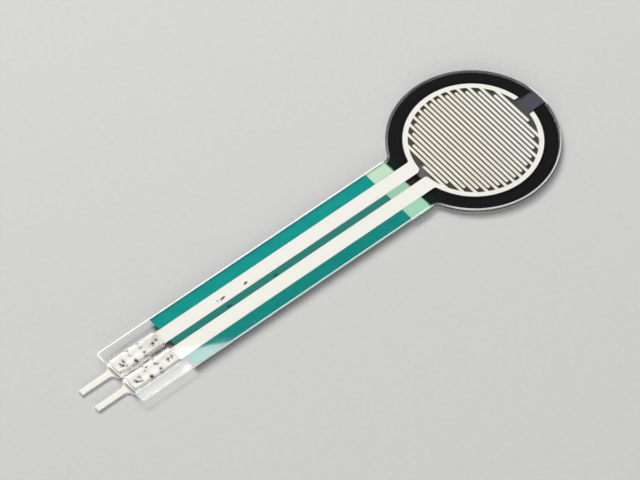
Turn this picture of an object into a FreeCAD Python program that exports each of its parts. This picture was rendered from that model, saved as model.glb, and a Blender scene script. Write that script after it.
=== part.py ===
import FreeCAD, Part
import math
import os
import Sketcher

# A round thick-film force sensing resistor: two films with facing prints, held apart by a ring of adhesive,
# and two solder tabs crimped through the end of the tail.
# Millimetres. The origin is the centre of the sensing disc on the underside of the release liner, +Z is up,
# and the tail runs along -X.

SIZES = [
    # Outline of the die-cut films
    ("film_radius", "9.14"),
    ("tail_width", "7.62"),
    ("tail_reach", "47.2"),
    ("neck_fillet_radius", "0.9"),
    ("tail_corner_radius", "0.45"),
    ("stub_neck_length", "2.69"),
    ("stub_corner_radius", "0.3"),
    # Thickness of each layer, from the bottom up
    ("bond_gap", "0.003"),
    ("liner_thickness", "0.09"),
    ("rear_adhesive_thickness", "0.05"),
    ("base_film_thickness", "0.13"),
    ("spacer_thickness", "0.15"),
    ("electrode_film_thickness", "0.13"),
    # Semiconductor print
    ("carbon_thickness", "0.02"),
    ("carbon_margin", "0.27"),
    ("carbon_neck_length", "0.2"),
    ("carbon_corner_radius", "0.1"),
    # Spacer adhesive
    ("print_clearance", "0.03"),
    ("opening_clearance", "0.08"),
    ("vent_width", "2.0"),
    # Silver electrodes
    ("silver_thickness", "0.02"),
    ("bus_margin", "1.8"),
    ("bus_width", "0.54"),
    ("bus_end_gap", "2.4"),
    ("trace_pitch", "2.54"),
    ("trace_width", "1.665"),
    ("trace_end_margin", "0.15"),
    ("left_junction_radius", "0.6"),
    ("right_junction_radius", "0.38"),
    ("outer_junction_radius", "0.3"),
    # Interdigitated fingers
    ("finger_pitch", "0.4904"),
    ("finger_width", "0.31"),
    ("finger_end_gap", "0.36"),
    ("finger_offset", "-0.115"),
    # Tail insulation
    ("insulation_thickness", "0.045"),
    ("insulation_margin", "0.13"),
    ("insulation_setback", "0.72"),
    # Solder tabs
    ("tab_thickness", "0.2"),
    ("shoulder_setback", "0.15"),
    ("shoulder_land", "0.04"),
    ("prong_width", "0.72"),
    ("prong_length", "4.15"),
    ("prong_corner_radius", "0.12"),
    ("clamp_rib_width", "1.3"),
    ("front_tine_place", "1.3"),
    ("middle_tine_place", "3.15"),
    ("back_tine_place", "5.0"),
    ("wide_tine_width", "1.9"),
    ("narrow_tine_width", "1.0"),
    ("tine_margin", "0.02"),
    ("tine_thickness", "0.15"),
    ("tine_curl_radius", "0.22"),
    ("tine_tip_radius", "0.2"),
    ("tine_tip_gap", "0.08"),
    ("tine_back_inset", "0.1"),
    ("tine_clearance", "0.02"),
    ("front_eye_place", "1.1"),
    ("back_eye_place", "5.25"),
    ("eye_radius", "0.3"),
]

doc = FreeCAD.newDocument("ForceSensingResistor")
sheet = doc.addObject("Spreadsheet::Sheet", "Sizes")
for row, (alias, number) in enumerate(SIZES, start=1):
    sheet.set(f"A{row}", alias.replace("_", " "))
    sheet.set(f"B{row}", number)
    sheet.setAlias(f"B{row}", alias)
doc.recompute()

# Sketch positions of a curve: its first end, its last end and its centre
START, END, CENTRE = range(1, 4)
ORIGIN_POINT = (-1, 1)

# Heights of the layers, each worked out from the one below
REAR_ADHESIVE_Z = "(Sizes.liner_thickness + Sizes.bond_gap)"
BASE_FILM_Z = f"({REAR_ADHESIVE_Z} + Sizes.rear_adhesive_thickness + Sizes.bond_gap)"
SPACER_Z = f"({BASE_FILM_Z} + Sizes.base_film_thickness + Sizes.bond_gap)"
ELECTRODE_FILM_Z = f"({SPACER_Z} + Sizes.spacer_thickness + Sizes.bond_gap)"
SILVER_Z = f"({ELECTRODE_FILM_Z} - Sizes.bond_gap - Sizes.silver_thickness)"
INSULATION_Z = f"({ELECTRODE_FILM_Z} - Sizes.bond_gap - Sizes.insulation_thickness)"
CLAMP_RIB_TOP = f"({SILVER_Z} - Sizes.bond_gap)"

# Distances from the disc's centre along the tail
NECK_START = (
    "sqrt((Sizes.film_radius + Sizes.neck_fillet_radius)^2"
    " - (Sizes.tail_width / 2 + Sizes.neck_fillet_radius)^2)"
)
STUB_REACH = f"({NECK_START} + Sizes.stub_neck_length)"
CARBON_REACH = f"({NECK_START} + Sizes.carbon_neck_length)"
SHOULDER_REACH = "(Sizes.tail_reach - Sizes.shoulder_setback)"
PLATE_LENGTH = "(Sizes.back_tine_place + Sizes.wide_tine_width / 2 + Sizes.tine_back_inset)"
INSULATION_REACH = f"({SHOULDER_REACH} - {PLATE_LENGTH} - Sizes.insulation_setback)"

# Radii of the collecting ring, of the opening round it and of the circle that the fingers' free ends reach
BUS_OUTER_RADIUS = "(Sizes.film_radius - Sizes.bus_margin)"
BUS_INNER_RADIUS = f"({BUS_OUTER_RADIUS} - Sizes.bus_width)"
OPENING_RADIUS = f"({BUS_OUTER_RADIUS} + Sizes.opening_clearance)"
FINGER_RADIUS = f"({BUS_INNER_RADIUS} - Sizes.finger_end_gap)"

# Distances across the tail and the tabs
TRACE_INNER_EDGE = "((Sizes.trace_pitch - Sizes.trace_width) / 2)"
TRACE_OUTER_EDGE = "((Sizes.trace_pitch + Sizes.trace_width) / 2)"
PLATE_HALF_WIDTH = "(Sizes.trace_width / 2 + Sizes.tine_margin + Sizes.tine_thickness)"
SHOULDER_RADIUS = f"({PLATE_HALF_WIDTH} - Sizes.prong_width / 2 - Sizes.shoulder_land)"
TINE_ARM_HEIGHT = f"({ELECTRODE_FILM_Z} + Sizes.electrode_film_thickness + Sizes.tine_clearance)"

# Each pair of tines as its name and its first and last edge along the plate, from the plate's front end
TINE_PAIRS = [
    (label, f"({place} - {width} / 2)", f"({place} + {width} / 2)")
    for label, place, width in (
        ("front", "Sizes.front_tine_place", "Sizes.wide_tine_width"),
        ("middle", "Sizes.middle_tine_place", "Sizes.narrow_tine_width"),
        ("back", "Sizes.back_tine_place", "Sizes.wide_tine_width"))
]


def measure(expression):
    """The number that an expression on the sheet's values comes to."""
    return float(sheet.evalExpression(expression))


def new_body(name, height="0", along="0", across="0"):
    """An empty body with its own place in the stack."""
    body = doc.addObject("PartDesign::Body", name)
    body.Label = name
    body.setExpression("Placement.Base.x", along)
    body.setExpression("Placement.Base.y", across)
    body.setExpression("Placement.Base.z", height)
    return body


def origin_feature(body, role):
    """One of the body's own axes or planes."""
    return next(item for item in body.Origin.OriginFeatures if item.Role == role)


def new_sketch(body, name, plane="XY_Plane", lift="0"):
    """A sketch on one of its body's own planes, raised along that plane's normal."""
    sketch = body.newObject("Sketcher::SketchObject", name)
    sketch.AttachmentSupport = [(origin_feature(body, plane), "")]
    sketch.MapMode = "FlatFace"
    sketch.setExpression("AttachmentOffset.Base.z", lift)
    return sketch


def line(sketch, start, end):
    """A straight edge."""
    segment = Part.LineSegment(FreeCAD.Vector(*start, 0), FreeCAD.Vector(*end, 0))
    return sketch.addGeometry(segment, False)


def arc(sketch, centre, radius, first_degrees, last_degrees):
    """A round edge, run anticlockwise from its first angle to its last."""
    circle = Part.Circle(FreeCAD.Vector(*centre, 0), FreeCAD.Vector(0, 0, 1), radius)
    curve = Part.ArcOfCircle(circle, math.radians(first_degrees), math.radians(last_degrees))
    return sketch.addGeometry(curve, False)


def rule(sketch, kind, *where):
    """A constraint with no size, such as Tangent or Horizontal."""
    sketch.addConstraint(Sketcher.Constraint(kind, *where))


def dimension(sketch, kind, where, expression, name):
    """A named constraint whose size follows the sheet."""
    index = sketch.addConstraint(Sketcher.Constraint(kind, *where, measure(expression)))
    sketch.renameConstraint(index, name)
    sketch.setExpression(f"Constraints.{name}", expression)


def pad(body, sketch, name, height, middle=False):
    """The sketch's profile carried up into a solid."""
    feature = body.newObject("PartDesign::Pad", name)
    feature.Profile = sketch
    feature.setExpression("Length", height)
    if middle:
        feature.SideType = "Symmetric"
    body.Tip = feature
    return feature


def pocket(body, sketch, name, depth, upward):
    """The sketch's profile cut out of the body, upward or downward from the sketch."""
    feature = body.newObject("PartDesign::Pocket", name)
    feature.Profile = sketch
    feature.setExpression("Length", depth)
    feature.Reversed = upward
    body.Tip = feature
    return feature


def draw_rectangle(sketch, name, left, right, bottom, top):
    """A rectangle whose four sides are placed from the origin."""
    x0, x1, y0, y1 = measure(left), measure(right), measure(bottom), measure(top)
    lower = line(sketch, (x0, y0), (x1, y0))
    far = line(sketch, (x1, y0), (x1, y1))
    upper = line(sketch, (x1, y1), (x0, y1))
    near = line(sketch, (x0, y1), (x0, y0))
    sides = (lower, far, upper, near)
    for side, following in zip(sides, sides[1:] + sides[:1]):
        rule(sketch, "Coincident", side, END, following, START)
    for side in (lower, upper):
        rule(sketch, "Horizontal", side)
    for side in (far, near):
        rule(sketch, "Vertical", side)
    dimension(sketch, "DistanceY", (lower, START), bottom, f"{name}_bottom")
    dimension(sketch, "DistanceX", (far, START), right, f"{name}_right")
    dimension(sketch, "DistanceY", (upper, START), top, f"{name}_top")
    dimension(sketch, "DistanceX", (near, START), left, f"{name}_left")


def draw_disc_and_neck(sketch, reach, corner_radius, margin="0"):
    """The die-cut outline: a disc that runs through concave fillets into a straight tail with rounded
    corners. The margin moves the disc, the fillets and the tail's sides inward together."""
    disc_radius = f"(Sizes.film_radius - {margin})"
    half_width = f"(Sizes.tail_width / 2 - {margin})"
    fillet_radius = f"(Sizes.neck_fillet_radius + {margin})"
    disc_r, half, fillet_r = measure(disc_radius), measure(half_width), measure(fillet_radius)
    end, corner = measure(reach), measure(corner_radius)
    fillet_x = -measure(NECK_START)
    fillet_y = half + fillet_r
    meeting = math.degrees(math.atan2(fillet_y, fillet_x))

    disc = arc(sketch, (0, 0), disc_r, -meeting, meeting)
    upper_fillet = arc(sketch, (fillet_x, fillet_y), fillet_r, -90, meeting - 180)
    upper_side = line(sketch, (fillet_x, half), (corner - end, half))
    upper_corner = arc(sketch, (corner - end, half - corner), corner, 90, 180)
    tail_end = line(sketch, (-end, half - corner), (-end, corner - half))
    lower_corner = arc(sketch, (corner - end, corner - half), corner, 180, 270)
    lower_side = line(sketch, (corner - end, -half), (fillet_x, -half))
    lower_fillet = arc(sketch, (fillet_x, -fillet_y), fillet_r, 180 - meeting, 90)

    rule(sketch, "Coincident", disc, CENTRE, *ORIGIN_POINT)
    rule(sketch, "Tangent", disc, END, upper_fillet, END)
    rule(sketch, "Tangent", upper_fillet, START, upper_side, START)
    rule(sketch, "Tangent", upper_side, END, upper_corner, START)
    rule(sketch, "Tangent", upper_corner, END, tail_end, START)
    rule(sketch, "Tangent", tail_end, END, lower_corner, START)
    rule(sketch, "Tangent", lower_corner, END, lower_side, START)
    rule(sketch, "Tangent", lower_side, END, lower_fillet, END)
    rule(sketch, "Tangent", lower_fillet, START, disc, START)
    rule(sketch, "Horizontal", upper_side)
    rule(sketch, "Horizontal", lower_side)
    rule(sketch, "Vertical", tail_end)
    dimension(sketch, "Radius", (disc,), disc_radius, "disc_radius")
    dimension(sketch, "Radius", (upper_fillet,), fillet_radius, "upper_fillet_radius")
    dimension(sketch, "Radius", (lower_fillet,), fillet_radius, "lower_fillet_radius")
    dimension(sketch, "Radius", (upper_corner,), corner_radius, "upper_corner_radius")
    dimension(sketch, "Radius", (lower_corner,), corner_radius, "lower_corner_radius")
    dimension(sketch, "DistanceY", (upper_side, START), half_width, "upper_side_place")
    dimension(sketch, "DistanceY", (lower_side, START), f"-{half_width}", "lower_side_place")
    dimension(sketch, "DistanceX", (tail_end, START), f"-{reach}", "tail_end_place")


def draw_bus_and_trace(sketch, side, junction_radius, growth="0"):
    """Half of the collecting ring with its trace down the tail, on the side given by +1 or -1. A rounded
    corner joins the ring's inner edge to the trace, a concave fillet its outer edge. The growth moves
    every edge outward."""
    outer_radius = f"({BUS_OUTER_RADIUS} + {growth})"
    inner_radius = f"({BUS_INNER_RADIUS} - {growth})"
    corner_radius = f"({junction_radius} + {growth})"
    fillet_radius = f"(Sizes.outer_junction_radius - {growth})"
    inner_edge = f"({TRACE_INNER_EDGE} - {growth})"
    outer_edge = f"({TRACE_OUTER_EDGE} + {growth})"
    ring_end = f"(Sizes.bus_end_gap / 2 - {growth})"
    trace_end = f"(Sizes.tail_reach - Sizes.trace_end_margin + {growth})"
    outer_r, inner_r = measure(outer_radius), measure(inner_radius)
    corner_r, fillet_r = measure(corner_radius), measure(fillet_radius)
    near, far = measure(inner_edge), measure(outer_edge)
    gap, end = measure(ring_end), measure(trace_end)

    fillet_x = -math.sqrt((outer_r + fillet_r) ** 2 - (far + fillet_r) ** 2)
    corner_x = -math.sqrt((inner_r + corner_r) ** 2 - (near + corner_r) ** 2)
    outer_first = math.degrees(math.asin(gap / outer_r))
    outer_last = math.degrees(math.atan2(far + fillet_r, fillet_x))
    inner_first = math.degrees(math.asin(gap / inner_r))
    inner_last = math.degrees(math.atan2(near + corner_r, corner_x))
    outer_end_x = math.sqrt(outer_r ** 2 - gap ** 2)
    inner_end_x = math.sqrt(inner_r ** 2 - gap ** 2)

    def sided_arc(centre, radius, first, last):
        """An arc drawn for the upper side, or its reflection with its two ends exchanged."""
        if side > 0:
            return arc(sketch, centre, radius, first, last), START, END
        return arc(sketch, (centre[0], -centre[1]), radius, -last, -first), END, START

    outer_arc, outer_at_gap, outer_at_trace = sided_arc((0, 0), outer_r, outer_first, outer_last)
    inner_arc, inner_at_gap, inner_at_trace = sided_arc((0, 0), inner_r, inner_first, inner_last)
    corner, corner_at_trace, corner_at_ring = sided_arc(
        (corner_x, near + corner_r), corner_r, -90, inner_last - 180)
    fillet, fillet_at_trace, fillet_at_ring = sided_arc(
        (fillet_x, far + fillet_r), fillet_r, -90, outer_last - 180)
    ring_cut = line(sketch, (outer_end_x, side * gap), (inner_end_x, side * gap))
    trace_inner = line(sketch, (corner_x, side * near), (-end, side * near))
    trace_cut = line(sketch, (-end, side * near), (-end, side * far))
    trace_outer = line(sketch, (-end, side * far), (fillet_x, side * far))

    rule(sketch, "Coincident", outer_arc, CENTRE, *ORIGIN_POINT)
    rule(sketch, "Coincident", inner_arc, CENTRE, *ORIGIN_POINT)
    rule(sketch, "Coincident", outer_arc, outer_at_gap, ring_cut, START)
    rule(sketch, "Coincident", inner_arc, inner_at_gap, ring_cut, END)
    rule(sketch, "Coincident", trace_inner, END, trace_cut, START)
    rule(sketch, "Coincident", trace_cut, END, trace_outer, START)
    rule(sketch, "Tangent", inner_arc, inner_at_trace, corner, corner_at_ring)
    rule(sketch, "Tangent", corner, corner_at_trace, trace_inner, START)
    rule(sketch, "Tangent", trace_outer, END, fillet, fillet_at_trace)
    rule(sketch, "Tangent", fillet, fillet_at_ring, outer_arc, outer_at_trace)
    rule(sketch, "Horizontal", ring_cut)
    rule(sketch, "Horizontal", trace_inner)
    rule(sketch, "Horizontal", trace_outer)
    rule(sketch, "Vertical", trace_cut)
    label = "left" if side > 0 else "right"
    dimension(sketch, "Radius", (outer_arc,), outer_radius, f"{label}_outer_radius")
    dimension(sketch, "Radius", (inner_arc,), inner_radius, f"{label}_inner_radius")
    dimension(sketch, "Radius", (corner,), corner_radius, f"{label}_corner_radius")
    dimension(sketch, "Radius", (fillet,), fillet_radius, f"{label}_fillet_radius")
    dimension(sketch, "DistanceY", (ring_cut, START), f"{side} * {ring_end}", f"{label}_ring_end")
    dimension(sketch, "DistanceY", (trace_inner, START), f"{side} * {inner_edge}", f"{label}_inner_edge")
    dimension(sketch, "DistanceY", (trace_outer, START), f"{side} * {outer_edge}", f"{label}_outer_edge")
    dimension(sketch, "DistanceX", (trace_cut, START), f"-{trace_end}", f"{label}_trace_end")


def finger_place(number):
    """The distance of a finger from the disc's centre, along the tail. Number 0 is just past the centre."""
    return f"(Sizes.finger_offset + ({number} + 1 / 2) * Sizes.finger_pitch)"


def finger_corner(number):
    """The distance along the tail of a finger's side that lies further out."""
    return f"(abs({finger_place(number)}) + Sizes.finger_width / 2)"


def comb_fingers(side):
    """The numbers of one comb's fingers: every second one of those that the finger circle has room for."""
    furthest = math.ceil(measure(f"{FINGER_RADIUS} / Sizes.finger_pitch"))
    numbers = range(-furthest, furthest)
    fitting = [number for number in numbers if measure(finger_corner(number)) < measure(FINGER_RADIUS)]
    return [number for number in fitting if number % 2 == (0 if side > 0 else 1)]


def draw_finger(sketch, number, name, side):
    """One printed finger: two straight sides and a round free end. Its root lies at the middle of the
    bus, and its free end stops short of the opposite bus by the same distance wherever it stands."""
    place = finger_place(number)
    bus_radius = f"({BUS_INNER_RADIUS} + Sizes.bus_width / 2)"
    tip = f"sqrt({FINGER_RADIUS}^2 - {finger_corner(number)}^2)"
    root = f"sqrt({bus_radius}^2 - {place}^2)"
    tip_centre = f"{-side} * ({tip} - Sizes.finger_width / 2)"
    root_place = f"{side} * {root}"

    x, half = measure(place), measure("Sizes.finger_width / 2")
    tip_y, root_y = measure(tip_centre), measure(root_place)
    near_side = line(sketch, (x - half, root_y), (x - half, tip_y))
    far_side = line(sketch, (x + half, tip_y), (x + half, root_y))
    root_line = line(sketch, (x + half, root_y), (x - half, root_y))
    if side > 0:
        end = arc(sketch, (x, tip_y), half, 180, 360)
        end_near, end_far = START, END
    else:
        end = arc(sketch, (x, tip_y), half, 0, 180)
        end_near, end_far = END, START
    rule(sketch, "Tangent", near_side, END, end, end_near)
    rule(sketch, "Tangent", end, end_far, far_side, START)
    rule(sketch, "Coincident", far_side, END, root_line, START)
    rule(sketch, "Coincident", root_line, END, near_side, START)
    rule(sketch, "Vertical", near_side)
    rule(sketch, "Vertical", far_side)
    rule(sketch, "Horizontal", root_line)
    dimension(sketch, "Radius", (end,), "Sizes.finger_width / 2", f"{name}_end")
    dimension(sketch, "DistanceX", (end, CENTRE), place, f"{name}_place")
    dimension(sketch, "DistanceY", (end, CENTRE), tip_centre, f"{name}_tip")
    dimension(sketch, "DistanceY", (root_line, START), root_place, f"{name}_root")


def make_layer(name, height, thickness, reach, corner_radius, margin="0"):
    """A flat layer with the outline of the disc and its neck."""
    body = new_body(name, height)
    outline = new_sketch(body, f"{name}_outline")
    draw_disc_and_neck(outline, reach, corner_radius, margin)
    pad(body, outline, f"{name}_sheet", thickness)
    return body


def make_spacer_adhesive():
    """The double-sided adhesive between the films: open over the fingers, with a channel that lets air
    out at the far edge. It flows round the two prints, so it has a recess for each."""
    body = make_layer("spacer_adhesive", SPACER_Z, "Sizes.spacer_thickness", STUB_REACH,
                      "Sizes.stub_corner_radius")
    depth = "Sizes.spacer_thickness"
    opening = new_sketch(body, "sensing_opening")
    circle = opening.addGeometry(
        Part.Circle(FreeCAD.Vector(0, 0, 0), FreeCAD.Vector(0, 0, 1), measure(OPENING_RADIUS)),
        False)
    rule(opening, "Coincident", circle, CENTRE, *ORIGIN_POINT)
    dimension(opening, "Radius", (circle,), OPENING_RADIUS, "opening_radius")
    pocket(body, opening, "sensing_window", depth, upward=True)

    vent = new_sketch(body, "vent_outline")
    draw_rectangle(vent, "vent", "0", "Sizes.film_radius + Sizes.vent_width",
                   "-Sizes.vent_width / 2", "Sizes.vent_width / 2")
    pocket(body, vent, "vent_channel", depth, upward=True)

    carbon = new_sketch(body, "carbon_seat_outline")
    draw_disc_and_neck(carbon, f"({CARBON_REACH} + Sizes.print_clearance)",
                       "(Sizes.carbon_corner_radius + Sizes.print_clearance)",
                       "(Sizes.carbon_margin - Sizes.print_clearance)")
    pocket(body, carbon, "carbon_seat", "Sizes.carbon_thickness + Sizes.bond_gap", upward=True)

    for side, label, radius in SILVER_SIDES:
        seat = new_sketch(body, f"{label}_silver_seat_outline", lift="Sizes.spacer_thickness")
        draw_bus_and_trace(seat, side, radius, "Sizes.print_clearance")
        pocket(body, seat, f"{label}_silver_seat", "Sizes.silver_thickness + Sizes.bond_gap", upward=False)
    return body


def make_electrode_print(side, label, junction_radius):
    """One comb of silver ink on the underside of the electrode film: half the collecting ring, every
    second finger and the trace to its solder tab."""
    name = f"{label}_electrode_print"
    body = new_body(name, SILVER_Z)
    bus = new_sketch(body, f"{label}_bus_outline")
    draw_bus_and_trace(bus, side, junction_radius)
    pad(body, bus, f"{label}_bus", "Sizes.silver_thickness")
    fingers = new_sketch(body, f"{label}_finger_outlines")
    for order, number in enumerate(comb_fingers(side), start=1):
        draw_finger(fingers, number, f"finger_{order}", side)
    pad(body, fingers, f"{label}_fingers", "Sizes.silver_thickness")
    return body


def make_tail_insulation():
    """The insulating ink over the traces, printed between the spacer and the bare end of the tail. Its
    upper face follows the film and leaves a channel for each trace."""
    body = new_body("tail_insulation", INSULATION_Z)
    sheet_outline = new_sketch(body, "insulation_outline")
    near_end = f"-({STUB_REACH} + Sizes.print_clearance)"
    half_width = "(Sizes.tail_width / 2 - Sizes.insulation_margin)"
    draw_rectangle(sheet_outline, "ink", f"-{INSULATION_REACH}", near_end, f"-{half_width}", half_width)
    pad(body, sheet_outline, "insulation_sheet", "Sizes.insulation_thickness")
    channels = new_sketch(body, "trace_channel_outlines", lift="Sizes.insulation_thickness")
    inner = f"({TRACE_INNER_EDGE} - Sizes.tine_clearance)"
    outer = f"({TRACE_OUTER_EDGE} + Sizes.tine_clearance)"
    draw_rectangle(channels, "left", "-Sizes.tail_reach", "0", inner, outer)
    draw_rectangle(channels, "right", "-Sizes.tail_reach", "0", f"-{outer}", f"-{inner}")
    pocket(body, channels, "trace_channels", "Sizes.silver_thickness + Sizes.bond_gap", upward=False)
    return body


def make_electrode_film():
    """The upper film, which carries the silver, with the slits that the tab's tines pierce in pairs."""
    body = make_layer("electrode_film", ELECTRODE_FILM_Z, "Sizes.electrode_film_thickness",
                      "Sizes.tail_reach", "Sizes.tail_corner_radius")
    slits = new_sketch(body, "tine_slit_outlines")
    slit_half = "(Sizes.tine_thickness / 2 + Sizes.tine_clearance / 2)"
    for pair_label, first, last in TINE_PAIRS:
        left = f"{first} - Sizes.tine_clearance - {SHOULDER_REACH}"
        right = f"{last} + Sizes.tine_clearance - {SHOULDER_REACH}"
        for tab_side, tab_label in ((1, "left"), (-1, "right")):
            for tine_side, tine_label in ((1, "upper"), (-1, "lower")):
                middle = (f"({tab_side} * Sizes.trace_pitch / 2"
                          f" + {tine_side} * ({PLATE_HALF_WIDTH} - Sizes.tine_thickness / 2))")
                draw_rectangle(slits, f"{tab_label}_{pair_label}_{tine_label}", left, right,
                               f"{middle} - {slit_half}", f"{middle} + {slit_half}")
    pocket(body, slits, "tine_slits", "Sizes.electrode_film_thickness", upward=True)
    return body


def draw_tab_blank(sketch):
    """The flat blank of a tab: a plate under the film, concave shoulders and a narrow solder prong."""
    plate, half = measure(PLATE_LENGTH), measure(PLATE_HALF_WIDTH)
    prong = measure("Sizes.prong_width / 2")
    tip, corner = measure("Sizes.prong_length"), measure("Sizes.prong_corner_radius")
    shoulder = measure(SHOULDER_RADIUS)

    tip_line = line(sketch, (-tip, corner - prong), (-tip, prong - corner))
    upper_tip = arc(sketch, (corner - tip, prong - corner), corner, 90, 180)
    upper_prong = line(sketch, (corner - tip, prong), (-shoulder, prong))
    upper_shoulder = arc(sketch, (-shoulder, prong + shoulder), shoulder, -90, 0)
    upper_end = line(sketch, (0, prong + shoulder), (0, half))
    upper_side = line(sketch, (0, half), (plate, half))
    back = line(sketch, (plate, half), (plate, -half))
    lower_side = line(sketch, (plate, -half), (0, -half))
    lower_end = line(sketch, (0, -half), (0, -prong - shoulder))
    lower_shoulder = arc(sketch, (-shoulder, -prong - shoulder), shoulder, 0, 90)
    lower_prong = line(sketch, (-shoulder, -prong), (corner - tip, -prong))
    lower_tip = arc(sketch, (corner - tip, corner - prong), corner, 180, 270)

    rule(sketch, "Tangent", tip_line, END, upper_tip, END)
    rule(sketch, "Tangent", upper_tip, START, upper_prong, START)
    rule(sketch, "Tangent", upper_prong, END, upper_shoulder, START)
    rule(sketch, "Tangent", upper_shoulder, END, upper_end, START)
    rule(sketch, "Coincident", upper_end, END, upper_side, START)
    rule(sketch, "Coincident", upper_side, END, back, START)
    rule(sketch, "Coincident", back, END, lower_side, START)
    rule(sketch, "Coincident", lower_side, END, lower_end, START)
    rule(sketch, "Tangent", lower_end, END, lower_shoulder, START)
    rule(sketch, "Tangent", lower_shoulder, END, lower_prong, START)
    rule(sketch, "Tangent", lower_prong, END, lower_tip, END)
    rule(sketch, "Tangent", lower_tip, START, tip_line, START)
    for flat in (upper_prong, upper_side, lower_side, lower_prong):
        rule(sketch, "Horizontal", flat)
    for upright in (tip_line, upper_end, back, lower_end):
        rule(sketch, "Vertical", upright)
    for curve, size, name in (
            (upper_tip, "Sizes.prong_corner_radius", "upper_tip_radius"),
            (lower_tip, "Sizes.prong_corner_radius", "lower_tip_radius"),
            (upper_shoulder, SHOULDER_RADIUS, "upper_shoulder_radius"),
            (lower_shoulder, SHOULDER_RADIUS, "lower_shoulder_radius")):
        dimension(sketch, "Radius", (curve,), size, name)
    dimension(sketch, "DistanceX", (tip_line, START), "-Sizes.prong_length", "tip_place")
    dimension(sketch, "DistanceX", (upper_end, START), "0", "upper_end_place")
    dimension(sketch, "DistanceX", (lower_end, START), "0", "lower_end_place")
    dimension(sketch, "DistanceX", (back, START), PLATE_LENGTH, "back_place")
    dimension(sketch, "DistanceY", (upper_prong, START), "Sizes.prong_width / 2", "upper_prong_place")
    dimension(sketch, "DistanceY", (lower_prong, START), "-Sizes.prong_width / 2", "lower_prong_place")
    dimension(sketch, "DistanceY", (upper_side, START), PLATE_HALF_WIDTH, "upper_side_place")
    dimension(sketch, "DistanceY", (lower_side, START), f"-{PLATE_HALF_WIDTH}", "lower_side_place")


def draw_tine(sketch):
    """A tine seen from its end: it rises from the plate's edge through the film, turns over in a curl,
    runs inward and turns down until its tip stands on the film."""
    tip_place = "(Sizes.tine_tip_gap / 2)"
    edge, arm = measure(PLATE_HALF_WIDTH), measure(TINE_ARM_HEIGHT)
    thick = measure("Sizes.tine_thickness")
    curl, tip = measure("Sizes.tine_curl_radius"), measure("Sizes.tine_tip_radius")
    tip_y = measure(tip_place)
    crown = arm + curl
    tip_z = crown - tip

    outer_arm = line(sketch, (edge, 0), (edge, arm))
    outer_curl = arc(sketch, (edge - curl, arm), curl, 0, 90)
    crown_line = line(sketch, (edge - curl, crown), (tip_y + tip, crown))
    outer_tip = arc(sketch, (tip_y + tip, tip_z), tip, 90, 180)
    tip_face = line(sketch, (tip_y, tip_z), (tip_y + thick, tip_z))
    inner_tip = arc(sketch, (tip_y + tip, tip_z), tip - thick, 90, 180)
    belly_line = line(sketch, (tip_y + tip, crown - thick), (edge - curl, crown - thick))
    inner_curl = arc(sketch, (edge - curl, arm), curl - thick, 0, 90)
    inner_arm = line(sketch, (edge - thick, arm), (edge - thick, 0))
    foot = line(sketch, (edge - thick, 0), (edge, 0))

    rule(sketch, "Tangent", outer_arm, END, outer_curl, START)
    rule(sketch, "Tangent", outer_curl, END, crown_line, START)
    rule(sketch, "Tangent", crown_line, END, outer_tip, START)
    rule(sketch, "Coincident", outer_tip, END, tip_face, START)
    rule(sketch, "Coincident", tip_face, END, inner_tip, END)
    rule(sketch, "Tangent", inner_tip, START, belly_line, START)
    rule(sketch, "Tangent", belly_line, END, inner_curl, END)
    rule(sketch, "Tangent", inner_curl, START, inner_arm, START)
    rule(sketch, "Coincident", inner_arm, END, foot, START)
    rule(sketch, "Coincident", foot, END, outer_arm, START)
    rule(sketch, "Coincident", outer_curl, CENTRE, inner_curl, CENTRE)
    rule(sketch, "Coincident", outer_tip, CENTRE, inner_tip, CENTRE)
    rule(sketch, "Horizontal", outer_tip, CENTRE, outer_tip, END)
    for upright in (outer_arm, inner_arm):
        rule(sketch, "Vertical", upright)
    for flat in (crown_line, tip_face, belly_line, foot):
        rule(sketch, "Horizontal", flat)
    dimension(sketch, "Radius", (outer_curl,), "Sizes.tine_curl_radius", "outer_curl_radius")
    dimension(sketch, "Radius", (inner_curl,), "Sizes.tine_curl_radius - Sizes.tine_thickness",
              "inner_curl_radius")
    dimension(sketch, "Radius", (outer_tip,), "Sizes.tine_tip_radius", "outer_tip_radius")
    dimension(sketch, "DistanceX", (outer_arm, START), PLATE_HALF_WIDTH, "edge_place")
    dimension(sketch, "DistanceY", (outer_curl, CENTRE), TINE_ARM_HEIGHT, "arm_height")
    dimension(sketch, "DistanceX", (tip_face, START), tip_place, "tip_place")
    dimension(sketch, "DistanceY", (foot, START), "0", "foot_place")


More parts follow.
